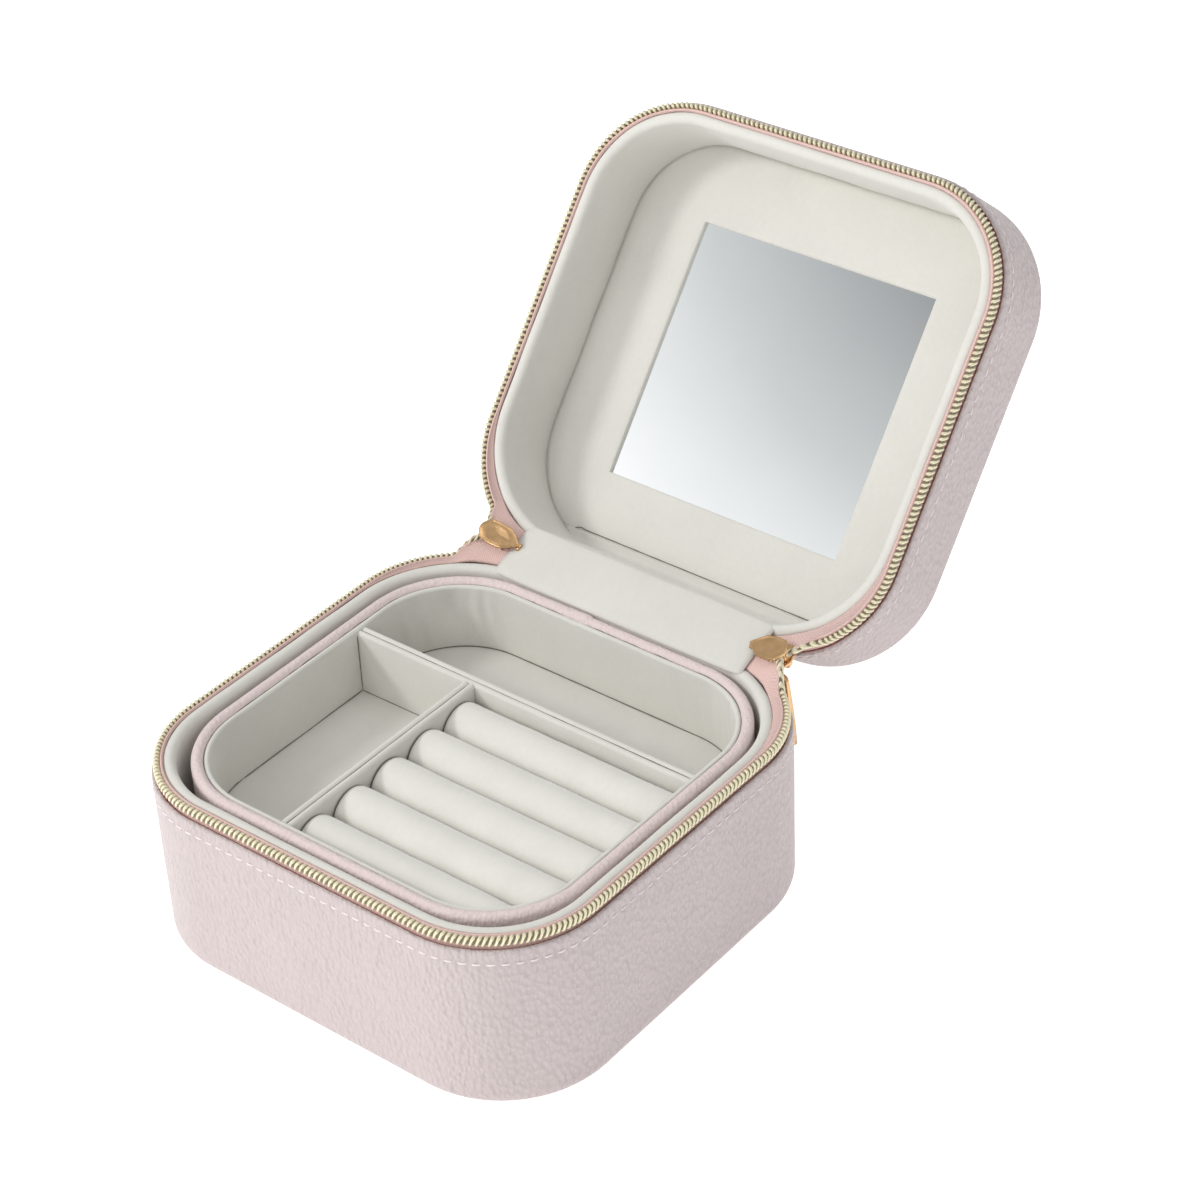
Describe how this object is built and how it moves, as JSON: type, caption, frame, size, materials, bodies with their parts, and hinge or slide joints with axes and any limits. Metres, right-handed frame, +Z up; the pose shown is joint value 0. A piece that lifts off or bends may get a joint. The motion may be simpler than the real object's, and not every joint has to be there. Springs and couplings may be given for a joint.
{
  "type": "jewelry box",
  "caption": "Square zip-around travel jewelry case with a mirror lid, a lift-out divided tray and padded ring rolls.",
  "frame": {"origin": "centre of the underside of the base, on the table", "axes": "+Z up, +Y towards the hinge, +X to the right when facing the open case from the front"},
  "size_m": [0.125, 0.2196, 0.1415],
  "materials": {
    "case_leather": "blush pebbled",
    "lid_leather": "blush pebbled",
    "tray_leather": "blush smooth grain",
    "lining": "ivory brushed",
    "roll_velvet": "cream velvet",
    "zip_tape": "salmon woven tape",
    "zip_coil": "pale gold plated coil",
    "board": "grey-brown board",
    "mirror": "polished",
    "hardware": "rose gold polished"
  },
  "bodies": {
    "base": {"base_cover": "case_leather", "base_bottom_cover": "case_leather", "base_wall_board": "board", "base_bottom_board": "board", "base_lining_wall": "lining", "base_lining_floor": "lining", "tray_rest_frame": "lining", "base_zip_tape": "zip_tape", "base_zip_coil": "zip_coil", "hinge_cover_lower": "case_leather", "hinge_lining_lower": "lining"},
    "lid": {"lid_cover": "lid_leather", "lid_top_cover": "lid_leather", "lid_wall_board": "board", "lid_top_board": "board", "lid_lining_wall": "lining", "lid_lining_panel": "lining", "lid_mirror": "mirror", "lid_zip_tape": "zip_tape", "lid_zip_coil": "zip_coil", "hinge_cover_upper": "case_leather", "hinge_lining_upper": "lining"},
    "tray": {"tray_cover": "tray_leather", "tray_wall_board": "board", "tray_bottom_board": "board", "tray_bottom_cover": "lining", "tray_lining_wall": "lining", "tray_lining_floor": "lining", "tray_divider_long": "lining", "tray_divider_short": "lining", "ring_roll_1": "roll_velvet", "ring_roll_2": "roll_velvet", "ring_roll_3": "roll_velvet", "ring_roll_4": "roll_velvet", "ring_roll_5": "roll_velvet"},
    "zip_end_left": {"zip_end_left": "hardware"},
    "zip_end_right": {"zip_end_right": "hardware"},
    "slider_left": {"slider_left": "hardware"},
    "slider_right": {"slider_right": "hardware"},
    "pull_left": {"pull_left": "hardware"},
    "pull_right": {"pull_right": "hardware"}
  },
  "joints": [
    {"name": "lid_hinge", "type": "hinge", "parent": "base", "child": "lid", "pos_m": [0, 0.06185, 0.04795], "axis": [-1, 0, 0], "range_deg": [-129.2, 0]},
    {"name": "tray_lift", "type": "slide", "parent": "base", "child": "tray", "axis": [0, 0, 1], "range_m": [0, 0.065]},
    {"name": "zip_end_tilt_left", "type": "hinge", "parent": "base", "child": "zip_end_left", "pos_m": [0, 0.06185, 0.04795], "axis": [-1, 0, 0], "range_deg": [-64.6, 0]},
    {"name": "slider_travel_left", "type": "hinge", "parent": "zip_end_left", "child": "slider_left", "pos_m": [-0.0335, 0.0496, 0.07573], "axis": [0, 0.9033, 0.4289], "range_deg": [0, 6]},
    {"name": "pull_swing_left", "type": "hinge", "parent": "slider_left", "child": "pull_left", "pos_m": [-0.04287, 0.06277, 0.048], "axis": [0.9703, 0.1038, -0.2185], "range_deg": [-4, 40]},
    {"name": "zip_end_tilt_right", "type": "hinge", "parent": "base", "child": "zip_end_right", "pos_m": [0, 0.06185, 0.04795], "axis": [-1, 0, 0], "range_deg": [-64.6, 0]},
    {"name": "slider_travel_right", "type": "hinge", "parent": "zip_end_right", "child": "slider_right", "pos_m": [0.0335, 0.0496, 0.07573], "axis": [0, -0.9033, -0.4289], "range_deg": [0, 6]},
    {"name": "pull_swing_right", "type": "hinge", "parent": "slider_right", "child": "pull_right", "pos_m": [0.04287, 0.06277, 0.048], "axis": [0.9703, -0.1038, 0.2185], "range_deg": [-4, 40]}
  ],
  "couplings": [
    {"joint": "zip_end_tilt_left", "follows": "lid_hinge", "ratio": 0.5},
    {"joint": "zip_end_tilt_right", "follows": "lid_hinge", "ratio": 0.5}
  ]
}
